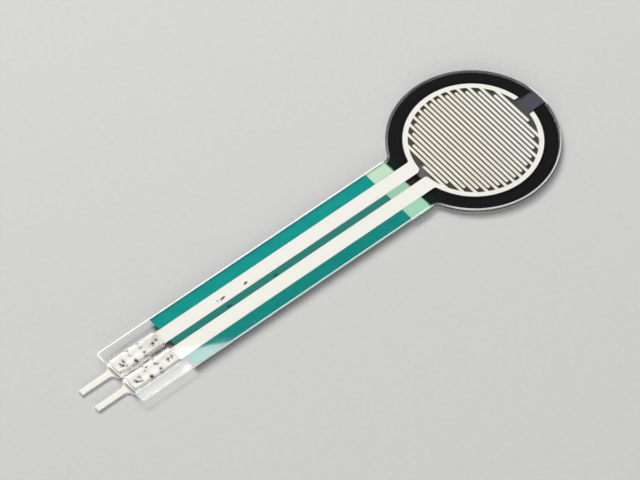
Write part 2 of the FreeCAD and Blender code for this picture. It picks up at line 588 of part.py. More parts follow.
def make_solder_tab(side, label):
    """A stamped and tin-plated tab. Its plate lies under the film with a rib pressed up against the
    silver. A strip along each edge is turned up through the film and curled over, and is parted into
    three tines; two coined eyes mark where opposite tines meet."""
    body = new_body(f"{label}_solder_tab", "0", f"-{SHOULDER_REACH}", f"{side} * Sizes.trace_pitch / 2")
    blank = new_sketch(body, f"{label}_tab_blank_outline")
    draw_tab_blank(blank)
    pad(body, blank, f"{label}_tab_blank", "Sizes.tab_thickness")

    row_first, row_last = TINE_PAIRS[0][1], TINE_PAIRS[-1][2]
    profile = new_sketch(body, f"{label}_tine_profile", "YZ_Plane", f"({row_first} + {row_last}) / 2")
    draw_tine(profile)
    strip = pad(body, profile, f"{label}_tine_strip", f"{row_last} - {row_first}", middle=True)
    both_sides = body.newObject("PartDesign::Mirrored", f"{label}_tine_strips")
    both_sides.Originals = [strip]
    both_sides.MirrorPlane = (origin_feature(body, "XZ_Plane"), [""])
    body.Tip = both_sides

    gaps = new_sketch(body, f"{label}_tine_gap_outlines", lift="Sizes.tab_thickness")
    reach = f"({PLATE_HALF_WIDTH} + Sizes.tine_clearance)"
    for (_, _, pair_end), (pair_label, pair_start, _) in zip(TINE_PAIRS, TINE_PAIRS[1:]):
        draw_rectangle(gaps, f"before_{pair_label}", pair_end, pair_start, f"-{reach}", reach)
    pocket(body, gaps, f"{label}_tine_gaps", f"{TINE_ARM_HEIGHT} + Sizes.tine_curl_radius", upward=True)

    eyes = new_sketch(body, f"{label}_eye_outlines", lift=TINE_ARM_HEIGHT)
    for place_label, place in (("front", "Sizes.front_eye_place"), ("back", "Sizes.back_eye_place")):
        circle = eyes.addGeometry(
            Part.Circle(FreeCAD.Vector(measure(place), 0, 0), FreeCAD.Vector(0, 0, 1),
                        measure("Sizes.eye_radius")),
            False)
        dimension(eyes, "Radius", (circle,), "Sizes.eye_radius", f"{place_label}_eye_radius")
        dimension(eyes, "DistanceX", (circle, CENTRE), place, f"{place_label}_eye_place")
        dimension(eyes, "DistanceY", (circle, CENTRE), "0", f"{place_label}_eye_centre")
    pocket(body, eyes, f"{label}_eyes", "Sizes.tine_curl_radius", upward=True)

    rib = new_sketch(body, f"{label}_clamp_rib_outline", lift="Sizes.tab_thickness")
    draw_rectangle(rib, "rib", row_first, row_last,
                   "-Sizes.clamp_rib_width / 2", "Sizes.clamp_rib_width / 2")
    pad(body, rib, f"{label}_clamp_rib", f"{CLAMP_RIB_TOP} - Sizes.tab_thickness")
    return body


SILVER_SIDES = (
    (1, "left", "Sizes.left_junction_radius"),
    (-1, "right", "Sizes.right_junction_radius"),
)

sub_parts = [
    make_layer("release_liner", "0", "Sizes.liner_thickness", STUB_REACH, "Sizes.stub_corner_radius"),
    make_layer("rear_adhesive", REAR_ADHESIVE_Z, "Sizes.rear_adhesive_thickness", STUB_REACH,
               "Sizes.stub_corner_radius"),
    make_layer("semiconductor_film", BASE_FILM_Z, "Sizes.base_film_thickness", STUB_REACH,
               "Sizes.stub_corner_radius"),
    make_layer("semiconductor_print", SPACER_Z, "Sizes.carbon_thickness", CARBON_REACH,
               "Sizes.carbon_corner_radius", "Sizes.carbon_margin"),
    make_spacer_adhesive(),
    make_tail_insulation(),
    make_electrode_film(),
]
for side, label, radius in SILVER_SIDES:
    sub_parts.append(make_electrode_print(side, label, radius))
    sub_parts.append(make_solder_tab(side, label))

doc.recompute()
for item in doc.Objects:
    if "Invalid" in item.State or "Error" in item.State:
        raise RuntimeError(f"{item.Label} could not be built: {item.State}")
for part in sub_parts:
    if part.Shape.isNull() or not part.Shape.isValid():
        raise RuntimeError(f"{part.Label} has no valid shape")

os.makedirs("parts", exist_ok=True)
for part in sub_parts:
    part.Shape.exportStep(f"parts/{part.Label}.step")
    box = part.Shape.BoundBox
    print(f"{part.Label}: {len(part.Shape.Solids)} solid, {part.Shape.Volume:.4f} mm3, "
          f"x {box.XMin:.3f} to {box.XMax:.3f}, y {box.YMin:.3f} to {box.YMax:.3f}, "
          f"z {box.ZMin:.3f} to {box.ZMax:.3f}")
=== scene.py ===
import math

import bpy
import numpy as np
from mathutils import Matrix, Quaternion, Vector


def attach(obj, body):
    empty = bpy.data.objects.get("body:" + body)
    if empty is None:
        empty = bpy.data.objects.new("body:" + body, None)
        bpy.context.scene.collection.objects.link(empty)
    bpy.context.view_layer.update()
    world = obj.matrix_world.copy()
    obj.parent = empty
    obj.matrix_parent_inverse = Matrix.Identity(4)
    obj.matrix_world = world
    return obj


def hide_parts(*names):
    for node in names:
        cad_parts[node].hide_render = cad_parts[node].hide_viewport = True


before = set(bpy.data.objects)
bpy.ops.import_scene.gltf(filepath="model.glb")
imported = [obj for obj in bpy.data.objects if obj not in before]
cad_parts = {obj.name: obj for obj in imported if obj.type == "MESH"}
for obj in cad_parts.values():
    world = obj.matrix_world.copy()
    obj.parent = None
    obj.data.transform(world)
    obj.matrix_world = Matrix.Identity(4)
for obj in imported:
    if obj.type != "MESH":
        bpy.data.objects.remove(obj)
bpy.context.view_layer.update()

# ---------------------------------------------------------------- camera
# A long lens at about 54 degrees above the table, from the tail's right-hand side, so that
# the disc lies at the upper right of the picture and the solder prongs at the lower left.
eye = Vector((-0.2608, -0.275009, 0.496638))
aim = Vector((-0.020545, 0.000304, 0.000429))
roll = Quaternion((0, 0, 1), math.radians(1.08))
camera_data = bpy.data.cameras.new("camera")
camera_data.sensor_width = 36.0
camera_data.lens = 339.13
camera = bpy.data.objects.new("camera", camera_data)
bpy.context.collection.objects.link(camera)
camera.location = eye
camera.rotation_mode = "QUATERNION"
camera.rotation_quaternion = (aim - eye).to_track_quat("-Z", "Y") @ roll
bpy.context.scene.camera = camera
bpy.context.scene.view_settings.view_transform = "Standard"

# ---------------------------------------------------------------- floor and studio light
# A plain pale table. A wide softbox hangs overhead, and a bright strip along its far edge is
# mirrored in the clear film at the tail's end. A box on the far side throws the shadow, and a low
# one in front lights the walls that face the camera.
MM = 0.001


class Signal:
    """One shader socket, on which + - * and the methods below add Math nodes."""

    def __init__(self, finish, socket):
        self.finish, self.socket = finish, socket

    def math(self, operation, *others):
        """A Math node on this signal and the others."""
        return self.finish.node("Math", {"operation": operation}, dict(enumerate((self, *others))))

    def __add__(self, other):
        return self.math("ADD", other)

    def __sub__(self, other):
        return self.math("SUBTRACT", other)

    def __mul__(self, other):
        return self.math("MULTIPLY", other)

    def __rsub__(self, other):
        return self.finish.node("Math", {"operation": "SUBTRACT"}, {0: other, 1: self})

    __radd__ = __add__
    __rmul__ = __mul__

    def size(self):
        return self.math("ABSOLUTE")

    def least(self, other):
        return self.math("MINIMUM", other)

    def most(self, other):
        return self.math("MAXIMUM", other)

    def distance(self, other):
        """The square root of the sum of both signals' squares."""
        return (self * self + other * other).math("SQRT")

    def step(self, start, end):
        """0 before start, 1 after end, smooth between; start may be the larger."""
        return self.finish.node(
            "MapRange", {"interpolation_type": "SMOOTHSTEP"},
            {"Value": self, "From Min": start, "From Max": end},
        )


class Finish:
    """A node material, or the world's nodes: node() adds a node, surface() ends a material."""

    def __init__(self, name, tree=None):
        if tree is None:
            self.material = bpy.data.materials.new(name)
            self.material.use_nodes = True
            tree = self.material.node_tree
        self.tree = tree
        self.tree.nodes.clear()

    def node(self, kind, settings=None, sockets=None, output=0):
        """Adds a node of a kind, sets its settings, then gives its sockets values or links."""
        node = self.tree.nodes.new("ShaderNode" + kind)
        for name, value in (settings or {}).items():
            setattr(node, name, value)
        for name, value in (sockets or {}).items():
            socket = node.inputs[name]
            if isinstance(value, Signal):
                self.tree.links.new(value.socket, socket)
            elif socket.type == "RGBA":
                socket.default_value = (*value, 1.0)
            else:
                socket.default_value = value
        return Signal(self, node.outputs[output]) if node.outputs else None

    def surface(self, shader):
        """Puts a shader on the material's output and gives the material."""
        self.node("OutputMaterial", None, {"Surface": shader})
        return self.material

    def place(self):
        """The point's place on the object in millimetres, as a vector."""
        where = self.node("TexCoord", output="Object")
        return self.node("VectorMath", {"operation": "SCALE"}, {0: where, "Scale": 1 / MM})

    def axes(self, vector):
        """A vector's x, y and z."""
        split = self.node("SeparateXYZ", None, {0: vector}).socket.node
        return [Signal(self, split.outputs[i]) for i in range(3)]

    def stretched(self, vector, x, y, z):
        """A vector with each axis scaled: a noise on it is drawn out along the smallest scale."""
        return self.node("VectorMath", {"operation": "MULTIPLY"}, {0: vector, 1: (x, y, z)})

    def noise(self, vector, scale, detail=2.0, roughness=0.5):
        """A cloudy noise about 0.5, whose largest clouds are about 1 / scale mm across."""
        return self.node(
            "TexNoise", None,
            {"Vector": vector, "Scale": scale, "Detail": detail, "Roughness": roughness},
        )

    def blend(self, share, first, second):
        """A colour that goes from first to second as share goes from 0 to 1."""
        return self.node("Mix", {"data_type": "RGBA"}, {0: share, 6: first, 7: second}, output=2)

    def bump(self, height, strength, reach):
        """A normal that follows a pattern of heights, from 0 to 1 over reach metres."""
        return self.node("Bump", None, {"Strength": strength, "Distance": reach, "Height": height})

    def cut(self):
        """1 on a sheet's upright cut edge, 0 on its flat faces: how far the normal lies over."""
        return self.axes(self.node("NewGeometry", output="Normal"))[2].size().step(0.7, 0.3)

    def looked_at(self):
        """1 for the rays that show a background: the camera's, by gloss and through glass."""
        camera, gloss, glass = (
            self.node("LightPath", output=f"Is {kind} Ray")
            for kind in ("Camera", "Glossy", "Transmission")
        )
        return camera.most(gloss).most(glass)


# The floor lies a hair under the part, so that no two faces share a plane.
FLOOR_REACH, FLOOR_HEIGHT = 3.0, -0.02 * MM
floor_mesh = bpy.data.meshes.new("floor")
floor_mesh.from_pydata(
    [(x * FLOOR_REACH, y * FLOOR_REACH, FLOOR_HEIGHT)
     for x, y in ((-1, -1), (1, -1), (1, 1), (-1, 1))],
    [], [(0, 1, 2, 3)],
)
floor = bpy.data.objects.new("floor", floor_mesh)
bpy.context.collection.objects.link(floor)

# Far from the part, where the lamps no longer reach, the table shows its own pale colour.
TABLE_TONES = (0.500, 0.500, 0.495), (0.515, 0.515, 0.510)
FAR_TONES = (0.67, 0.67, 0.663), (0.79, 0.80, 0.81)
table = Finish("table")
table_place = table.place()
table_x, table_y, _ = table.axes(table_place)
away = table_x.distance(table_y)
table_grain = table.noise(table_place, 1.6, detail=3.0)
table_lit = table.node("BsdfPrincipled", None, {
    "Base Color": table.blend(table_grain.step(0.3, 0.7), *TABLE_TONES),
    "Roughness": 0.65,
    "Specular IOR Level": 0.25,
})
table_far = table.node("Emission", None, {
    "Color": table.blend(away.step(800.0, 2800.0), *FAR_TONES),
    "Strength": 1.0,
})
floor_mesh.materials.append(table.surface(table.node("MixShader", None, {
    0: table.looked_at() * away.step(85.0, 300.0), 1: table_lit, 2: table_far,
})))

# The room is dim. Rays that look at it see a bright backdrop from the ground up to 5 degrees,
# which fades out at 8.
ROOM_LIGHT, BACKDROP_LIGHT = 0.06, 0.86
world = bpy.data.worlds.new("studio")
bpy.context.scene.world = world
world.use_nodes = True
room = Finish("room", world.node_tree)
horizon = room.axes(room.node("TexCoord", output="Generated"))[2].step(0.14, 0.08)
room.node("OutputWorld", None, {"Surface": room.node("Background", None, {
    "Color": (0.86, 0.87, 0.88),
    "Strength": ROOM_LIGHT + horizon * room.looked_at() * BACKDROP_LIGHT,
})})


def softbox(name, centre, toward, along, width, height, brightness):
    """A rectangular area lamp that faces a point, with its width along a direction. Its power is
    its brightness, 1 being white, times its area times pi."""
    lamp = bpy.data.lights.new(name, "AREA")
    lamp.shape = "RECTANGLE"
    lamp.size, lamp.size_y = width, height
    lamp.energy = brightness * math.pi * width * height
    box = bpy.data.objects.new(name, lamp)
    bpy.context.collection.objects.link(box)
    back = (Vector(centre) - Vector(toward)).normalized()
    side = Vector(along)
    side = (side - back * side.dot(back)).normalized()
    box.rotation_mode = "QUATERNION"
    box.rotation_quaternion = Matrix((side, back.cross(side), back)).transposed().to_quaternion()
    box.location = centre


# The overhead box is placed by its far edge: that edge's middle, the way along it, and the way
# into the box. The strip lies a little inwards of the edge and below the box.
EDGE_MIDDLE = Vector((0.2205, 0.3320, 0.6))
EDGE_ALONG = Vector((0.889, -0.457, 0.0)).normalized()
EDGE_INWARD = Vector((-0.457, -0.889, 0.0)).normalized()
DOWN = Vector((0, 0, -1))
BOX_WIDTH, BOX_DEPTH = 0.9, 0.75
STRIP_WIDTH, STRIP_DEPTH, STRIP_INSET, STRIP_DROP = 0.5, 0.06, 0.0312, 0.002
TAIL_MIDDLE = (-0.02, 0, 0)
box = EDGE_MIDDLE + EDGE_INWARD * BOX_DEPTH / 2
strip = EDGE_MIDDLE + EDGE_INWARD * STRIP_INSET + DOWN * STRIP_DROP
softbox("overhead_box", box, box + DOWN, EDGE_ALONG, BOX_WIDTH, BOX_DEPTH, 0.40)
softbox("edge_strip", strip, strip + DOWN, EDGE_ALONG, STRIP_WIDTH, STRIP_DEPTH, 13.5)
softbox("far_box", (0.20, 0.72, 0.47), TAIL_MIDDLE, (0.96, -0.28, 0), 0.60, 0.25, 22.0)
softbox("near_box", (-0.62, -0.66, 0.25), TAIL_MIDDLE, (0.7, -0.7, 0), 0.8, 0.3, 8.6)


# ---------------------------------------------------------------- release liner
# The coated paper under the disc and the short neck that keeps the rear adhesive clean until
# the sensor is stuck down. Its fibres show faintly in the cut edge and on the underside.
def dress(material, *names):
    """Gives CAD nodes a material in place of their plain one."""
    for name in names:
        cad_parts[name].data.materials.clear()
        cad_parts[name].data.materials.append(material)


# The upright cut edge is painted darker than the paper, as painted shade.
PAPER_TONES, PAPER_CUT_SHADE = ((0.83, 0.83, 0.80), (0.90, 0.90, 0.87)), (0.40, 0.40, 0.385)
paper = Finish("liner_paper")
fibre = paper.noise(
    paper.stretched(paper.place(), 1.0, 3.0, 3.0), 5.0, detail=6.0, roughness=0.7,
)
dress(paper.surface(paper.node("BsdfPrincipled", None, {
    "Base Color": paper.blend(
        paper.cut(), paper.blend(fibre.step(0.3, 0.7), *PAPER_TONES), PAPER_CUT_SHADE,
    ),
    "Roughness": 0.5 + fibre * 0.15,
    "Normal": paper.bump(fibre, 0.1, 0.02 * MM),
})), "release_liner")

# ---------------------------------------------------------------- rear adhesive
# Clear acrylic adhesive, coated on the back of the lower film and cut with it. Between the paper
# and the film only its thin edge shows: a dark, glassy line with a few strings drawn out.
GLUE_TONES = (0.12, 0.125, 0.12), (0.16, 0.165, 0.16)
glue = Finish("clear_adhesive")
strings = glue.noise(glue.stretched(glue.place(), 1.0, 1.0, 6.0), 4.0, detail=3.0)
dress(glue.surface(glue.node("BsdfPrincipled", None, {
    "Base Color": glue.blend(strings, *GLUE_TONES),
    "Roughness": 0.35 + strings * 0.2,
})), "rear_adhesive")

# ---------------------------------------------------------------- semiconductor film
# The clear lower film, die cut to the disc and a short neck, where it looks milky over the white
# liner. It is drawn opaque, since a renderer's light passes only a few clear faces, and so dark
# under the disc's margin, with faint drawn-out scratches.
LINER_SHOWS, MARGIN_DARK, CUT_DARK = (0.66, 0.66, 0.655), (0.075, 0.075, 0.08), (0.07, 0.075, 0.08)
SCRATCH_TONE = (0.50, 0.51, 0.50)
lower = Finish("clear_film")
lower_place = lower.place()
scratch = lower.noise(lower.stretched(lower_place, 1.0, 1.0, 6.0), 4.0, detail=3.0)
lower_face = lower.blend(lower.axes(lower_place)[0].step(-9.0, -8.4), LINER_SHOWS, MARGIN_DARK)
dress(lower.surface(lower.node("BsdfPrincipled", None, {
    "Base Color": lower.blend(
        scratch * 0.12, lower.blend(lower.cut(), lower_face, CUT_DARK), SCRATCH_TONE,
    ),
    "Roughness": 0.12 + scratch * 0.15,
})), "semiconductor_film")

# ---------------------------------------------------------------- semiconductor print
# Black carbon ink printed on the lower film. It is deep black where the adhesive wets it, and
# grey where it stays dry: in the round opening under the fingers and in the vent to the edge.
OPENING_RADIUS, VENT_HALF, VENT_START, BLUR = 7.42, 1.0, (6.0, 6.2), 0.03
DRY_INK, DRY_VENT, DRY_NECK = (0.073, 0.070, 0.067), (0.068, 0.071, 0.094), (0.129, 0.120, 0.134)
WET_INK = (0.0058, 0.0056, 0.0064)
WET_NECK_SIDE, WET_NECK_MIDDLE = (0.001, 0.015, 0.010), (0.023, 0.019, 0.017)
carbon = Finish("carbon_ink")
carbon_place = carbon.place()
cx, cy, _ = carbon.axes(carbon_place)
opening = cx.distance(cy).step(OPENING_RADIUS + BLUR, OPENING_RADIUS - BLUR)
vent = cy.size().step(VENT_HALF + BLUR, VENT_HALF - BLUR) * cx.step(*VENT_START)
speck = carbon.noise(carbon_place, 14.0, detail=4.0, roughness=0.65)
dry_ink = carbon.blend(vent * cx.step(6.3, 7.6), DRY_INK, DRY_VENT)
dry_ink = carbon.blend(cx.step(-5.7, -6.2) * cy.size().step(1.1, 0.7), dry_ink, DRY_NECK)
neck_ink = carbon.blend(cy.size().step(1.2, 0.6), WET_NECK_SIDE, WET_NECK_MIDDLE)
wet_ink = carbon.blend(cx.step(-7.8, -8.3), WET_INK, neck_ink)
dry = opening.most(vent) * (0.75 + speck * 0.5).least(1.0)
dress(carbon.surface(carbon.node("BsdfPrincipled", None, {
    "Base Color": carbon.blend(dry, wet_ink, dry_ink),
    "Roughness": 0.55 + speck * 0.2,
    "Specular IOR Level": 0.03,
    "Normal": carbon.bump(speck, 0.2, 0.01 * MM),
})), "semiconductor_print")

# ---------------------------------------------------------------- spacer adhesive
# The double-sided adhesive that holds the two films apart all round the fingers, with a vent cut
# through it at the far edge. It is pale green, which shows in the neck past the end of the black
# ink. Over the ink it is drawn clear, apart from its cut edge.
INK_END = (-8.72, -9.10)
NEAR_GREEN, MIDDLE_GREEN, FAR_GREEN = (
    (0.214, 0.452, 0.300), (0.262, 0.542, 0.372), (0.435, 0.631, 0.452),
)
GREEN_CLOUD, SPACER_CUT = (0.20, 0.42, 0.31), (0.05, 0.055, 0.055)
spacer = Finish("green_adhesive")
spacer_place = spacer.place()
sx, sy, _ = spacer.axes(spacer_place)
streak = spacer.noise(spacer.stretched(spacer_place, 1.0, 1.0, 8.0), 3.0, detail=4.0)
milk = spacer.noise(spacer_place, 0.9, detail=3.0)
neck = (sx + milk * 0.16).step(*INK_END)
green = spacer.blend(sy.step(0.6, -1.6), NEAR_GREEN, MIDDLE_GREEN)
green = spacer.blend(sy.step(0.9, 2.6), green, FAR_GREEN)
green = spacer.blend(milk.step(0.3, 0.7) * 0.10, green, GREEN_CLOUD)
dress(spacer.surface(spacer.node("MixShader", None, {
    0: (spacer.cut() * (0.6 + streak * 0.3)).most(neck),
    1: spacer.node("BsdfTransparent", None, {"Color": (0.99, 0.99, 0.99)}),
    2: spacer.node("BsdfPrincipled", None, {
        "Base Color": spacer.blend(neck, SPACER_CUT, green),
        "Roughness": 0.35 + streak * 0.15,
    }),
})), "spacer_adhesive")

# ---------------------------------------------------------------- tail insulation
# Blue-green insulating ink screen-printed over the traces along the tail. It is opaque, with a
# faint mottle from the mesh of the screen and two dark specks between the traces.
NEAR_TEALS = (0.001, 0.204, 0.178), (0.003, 0.231, 0.203)
FAR_TEALS = (0.001, 0.255, 0.228), (0.003, 0.291, 0.257)
MIDDLE_TEAL, SPECK_TEAL = (0.022, 0.187, 0.158), (0.004, 0.03, 0.024)
SPECKS, SPECK_REACH, SPECK_WIDTH = ((-26.85, -0.20), (-32.98, -0.14)), 1 / 2.8, 1 / 6.0
insulation = Finish("insulating_ink")
insulation_place = insulation.place()
ix, iy, _ = insulation.axes(insulation_place)
mottle = insulation.noise(insulation_place, 0.8, detail=5.0, roughness=0.6)
mesh_mark = insulation.noise(
    insulation.stretched(insulation_place, 1.0, 4.0, 1.0), 6.0, detail=2.0,
)
near_teal, far_teal = (
    insulation.blend(mottle.step(0.25, 0.75), *tones) for tones in (NEAR_TEALS, FAR_TEALS)
)
teal = insulation.blend(iy.step(-1.0, 1.0), near_teal, far_teal)
teal = insulation.blend(iy.size().step(0.5, 0.3), teal, MIDDLE_TEAL)
for x, y in SPECKS:
    spot = ((ix - x) * (1 / SPECK_REACH)).distance((iy - y) * (1 / SPECK_WIDTH))
    teal = insulation.blend(spot.step(1.2, 0.5) * 0.75, teal, SPECK_TEAL)
dress(insulation.surface(insulation.node("BsdfPrincipled", None, {
    "Base Color": teal,
    "Roughness": 0.45 + mesh_mark * 0.15,
    "Specular IOR Level": 0.03,
})), "tail_insulation")

# ---------------------------------------------------------------- electrode prints
# The two silver combs with their half rings and traces, printed on the underside of the upper
# film in a polymer silver ink: a warm satin white, fine-grained, with faint clouding. The trace
# on the +Y side is scuffed through in three small flecks.
SILVER_TONES, SILVER_GRAIN = ((0.770, 0.732, 0.700), (0.752, 0.752, 0.680)), (0.45, 0.42, 0.36)
WARM_SILVER, SCUFF_TONE = (0.733, 0.690, 0.604), (0.045, 0.045, 0.040)
INSIDE_RING = (6.95, 6.75)
# Each scuff's x and y, its reach along the trace, and how dark it is; each leans by its slope.
SCUFFS = ((-29.88, 1.00, 0.30, 1.0), (-32.88, 1.02, 0.40, 0.95), (-33.49, 1.08, 0.14, 0.55))
SCUFF_SLOPE, SCUFF_WIDTH = 0.15, 1 / 7.0
silver = Finish("silver_ink")
silver_place = silver.place()
ux, uy, _ = silver.axes(silver_place)
grain = silver.noise(silver_place, 9.0, detail=5.0, roughness=0.7)
cloud = silver.noise(silver.stretched(silver_place, 0.5, 1.0, 1.0), 0.7, detail=3.0)
tone = silver.blend(cloud.step(0.3, 0.7), *SILVER_TONES)
tone = silver.blend(grain.step(0.35, 0.7) * 0.08 + 0.92, SILVER_GRAIN, tone)
fingers = ux.distance(uy).step(*INSIDE_RING)
tone = silver.blend(fingers * (ux - uy * 0.4).step(6.0, -1.0), tone, WARM_SILVER)
scuff = 0.0
for x, y, reach, darkness in SCUFFS:
    beyond = ux - x
    spot = (beyond * (1 / reach)).distance((uy - y - beyond * SCUFF_SLOPE) * (1 / SCUFF_WIDTH))
    scuff = spot.step(1.2, 0.6) * darkness + scuff
dress(silver.surface(silver.node("BsdfPrincipled", None, {
    "Base Color": silver.blend(scuff, tone, SCUFF_TONE),
    "Metallic": 0.05,
    "Roughness": 0.42 + grain * 0.16,
    "Specular IOR Level": 0.25,
    "Normal": silver.bump(grain, 0.25, 0.01 * MM),
})), "left_electrode_print", "right_electrode_print")

# ---------------------------------------------------------------- electrode film
# The clear upper film, die cut to a disc with the long tail. The die rolls its upper edge over
# a little and leaves a frosted cut; the rolled shoulder is drawn as a white line all round the
# outline, partly that frosted cut and partly a painted highlight. The film is whitened where the
# tabs' tines pierce it, partly as crazing and partly as painted light. Its slits aren't drawn, as
# the tines fill them.
FILM_RADIUS, TAIL_HALF, TAIL_END = 9.14, 3.81, -47.2
NECK_FILLET, TAIL_CORNER = 0.9, 0.45
FILM_BOTTOM, FILM_TOP = 0.432, 0.562
EDGE_ROLL, EDGE_DROP, LOWER_ROUND = 0.16, 0.045, 0.012
TRACE_PITCH = 2.54


def arc(middle, r, start, end, steps):
    """Points on a circle about middle from angle start to end, with the unit vector out of it."""
    turn = np.linspace(start, end, steps)
    out = np.stack((np.cos(turn), np.sin(turn)), axis=1)
    return np.array(middle) + r * out, out


def film_outline():
    """The film's outline anticlockwise with its outward unit normals: the disc from one neck
    fillet round to the other, the fillet, the tail's edge, its two rounded corners and back. A
    fillet's middle is its radius away from the disc and from the tail's edge."""
    side = TAIL_HALF + NECK_FILLET
    back = -math.sqrt((FILM_RADIUS + NECK_FILLET) ** 2 - side ** 2)
    neck = math.atan2(side, -back)
    disc, disc_out = arc((0, 0), FILM_RADIUS, -math.pi + neck, math.pi - neck, 260)
    upper, upper_in = arc((back, side), NECK_FILLET, -neck, -math.pi / 2, 14)
    lower, lower_in = arc((back, -side), NECK_FILLET, math.pi / 2, neck, 14)
    corner_x, corner_y = TAIL_END + TAIL_CORNER, TAIL_HALF - TAIL_CORNER
    first, first_out = arc((corner_x, corner_y), TAIL_CORNER, math.pi / 2, math.pi, 12)
    second, second_out = arc((corner_x, -corner_y), TAIL_CORNER, math.pi, math.pi * 1.5, 12)
    points = np.concatenate((disc, upper[1:], first, second, lower[:-1]))
    normals = np.concatenate((disc_out, -upper_in[1:], first_out, second_out, -lower_in[:-1]))
    return points, normals


def cut_sheet(outline, outward, profile):
    """A flat sheet with a shaped edge: the outline is drawn once for each point of the edge's
    profile, moved inwards by that point's inset and lifted to its height; both faces are capped."""
    rings, count = len(profile), len(outline)
    flat = outline[None, :, :] - outward[None, :, :] * profile[:, 0, None, None]
    height = np.repeat(profile[:, 1, None, None], count, axis=1)
    points = np.concatenate((flat, height), axis=2).reshape(-1, 3) * MM
    return points, *ring_faces(rings, count)


def ring_faces(rings, count):
    """The quads between rings of points, each ring closed on itself, and the two end caps: the
    first ring taken backwards and the last ring forwards, so that both look outwards."""
    start = np.arange(rings - 1)[:, None] * count
    here, after = np.arange(count)[None, :], (np.arange(count)[None, :] + 1) % count
    sides = (start + here, start + after, start + count + after, start + count + here)
    caps = np.stack((np.arange(count)[::-1], np.arange(count) + (rings - 1) * count))
    return np.stack(sides, axis=2).reshape(-1, 4), caps


def new_piece(name, parts, shares, attribute):
    """One mesh object from closed parts, each its points, its smooth quads and its flat caps. The
    attribute holds a share at each point, for the piece's finish."""
    points = np.concatenate([part[0] for part in parts])
    firsts = np.cumsum([0] + [len(part[0]) for part in parts])
    faces, smooth = [], []
    for first, (_, quads, caps) in zip(firsts, parts):
        faces += (quads + first).tolist() + (caps + first).tolist()
        smooth += [True] * len(quads) + [False] * len(caps)
    mesh = bpy.data.meshes.new(name)
    mesh.from_pydata(points.tolist(), [], faces)
    layer = mesh.attributes.new(attribute, "FLOAT", "POINT")
    layer.data.foreach_set("value", np.concatenate(shares).astype(np.float32))
    mesh.polygons.foreach_set("use_smooth", smooth)
    piece = bpy.data.objects.new(name, mesh)
    bpy.context.collection.objects.link(piece)
    return piece


# The edge from underside to top face as (inset, height): a small lower round, the upright cut,
# then a shoulder whose drop falls off with the cube of the way inwards.
way = np.linspace(0.0, 1.0, 9)
foot = [(0.30, FILM_BOTTOM), (LOWER_ROUND, FILM_BOTTOM), (0.0, FILM_BOTTOM + LOWER_ROUND)]
shoulder = np.stack((EDGE_ROLL * way ** 1.4, FILM_TOP - EDGE_DROP * (1 - way) ** 3), axis=1)
film_edge = np.concatenate((foot, shoulder))
# Where the white line is drawn: the rolled shoulder, as frosted cut with a painted highlight on it.
frost_and_highlight = (film_edge[:, 0] < 0.9 * EDGE_ROLL) & (film_edge[:, 1] > FILM_BOTTOM)
outline, outward = film_outline()
film = new_piece(
    "electrode_film_sheet", [cut_sheet(outline, outward, film_edge)],
    [np.repeat(frost_and_highlight, len(outline))], "edge",
)

FILM_TONE, CRAZING_AND_PAINTED_LIGHT_TONE = (0.95, 0.96, 0.955), (0.66, 0.66, 0.63)
HEAD_ON, GRAZING = 0.036, 0.96
TAIL_LINE, END_LINE, DISC_LINE, RIM_LINE = 0.62, 0.06, 0.04, 0.54
CRAZING_AND_PAINTED_LIGHT_SIDE, CRAZING_AND_PAINTED_LIGHT_GAP, FRONT_GAP, BACK_GAP = 0.30, 0.35, -44.6, -43.2
sheet = Finish("clear_top_film")
sheet_place = sheet.place()
fx, fy, fz = sheet.axes(sheet_place)
edge = sheet.node("Attribute", {"attribute_name": "edge"}, output="Fac")
# The top face mirrors a little head on and nearly all at a grazing angle, as the fifth power.
facing = sheet.node("LayerWeight", None, {"Blend": 0.5}, output="Facing")
film_gloss = (facing.math("POWER", 5.0) * GRAZING + HEAD_ON) * fz.step(0.46, 0.50)
# The white line is painted brighter along the tail and at the disc's near rim and far end, as a
# painted highlight where the light catches the edge. It is faint round the rest of the disc, and
# where the tail's end crosses the tabs.
on_disc = fx.step(-9.6, -8.6)
near_rim = fy.step(-3.0, -6.5).most(fx.step(8.4, 8.8) * fy.size().step(1.8, 1.2))
at_end = fx.step(-46.6, -46.9) * fy.size().step(2.6, 2.3)
tail_line = (1 - on_disc) * (TAIL_LINE - at_end * (TAIL_LINE - END_LINE))
lit_edge = tail_line + on_disc * (DISC_LINE + near_rim * (RIM_LINE - DISC_LINE))
# The whitened film is a ragged strip along each tab's sides, strongest by the gaps between tines:
# partly crazing, partly painted light that hides the shade on the tines' walls below it.
crumb = sheet.noise(sheet_place, 2.2, detail=3.0, roughness=0.6)
beside = (fy.size() - TRACE_PITCH / 2).size() - crumb * 0.22
along_tab = fx.step(-46.7, -46.4) * fx.step(-41.0, -41.3)
between = (fx - FRONT_GAP).size().least((fx - BACK_GAP).size()).step(0.34, 0.14)
crazing_and_painted_light = beside.step(0.78, 0.84) * beside.step(1.04, 0.90) * along_tab
crazing_and_painted_light = crazing_and_painted_light * (fy.step(2.0, 1.8) * CRAZING_AND_PAINTED_LIGHT_SIDE + between * CRAZING_AND_PAINTED_LIGHT_GAP) * fz.step(0.50, 0.54)
dull = edge.most(crazing_and_painted_light).step(0.0, 0.2)
smear = sheet.noise(sheet_place, 0.35, detail=4.0)
film.data.materials.append(sheet.surface(sheet.node("MixShader", None, {
    0: film_gloss.most(edge * lit_edge).most(crazing_and_painted_light),
    1: sheet.node("BsdfTransparent", None, {"Color": (0.998, 1.0, 0.998)}),
    2: sheet.node("BsdfPrincipled", None, {
        "Base Color": sheet.blend(crazing_and_painted_light.step(0.0, 0.1), FILM_TONE, CRAZING_AND_PAINTED_LIGHT_TONE),
        "Metallic": 1.0 - dull,
        "Roughness": 0.014 + dull * 0.25 + smear * 0.006,
    }),
})))
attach(film, "root")
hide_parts("electrode_film")

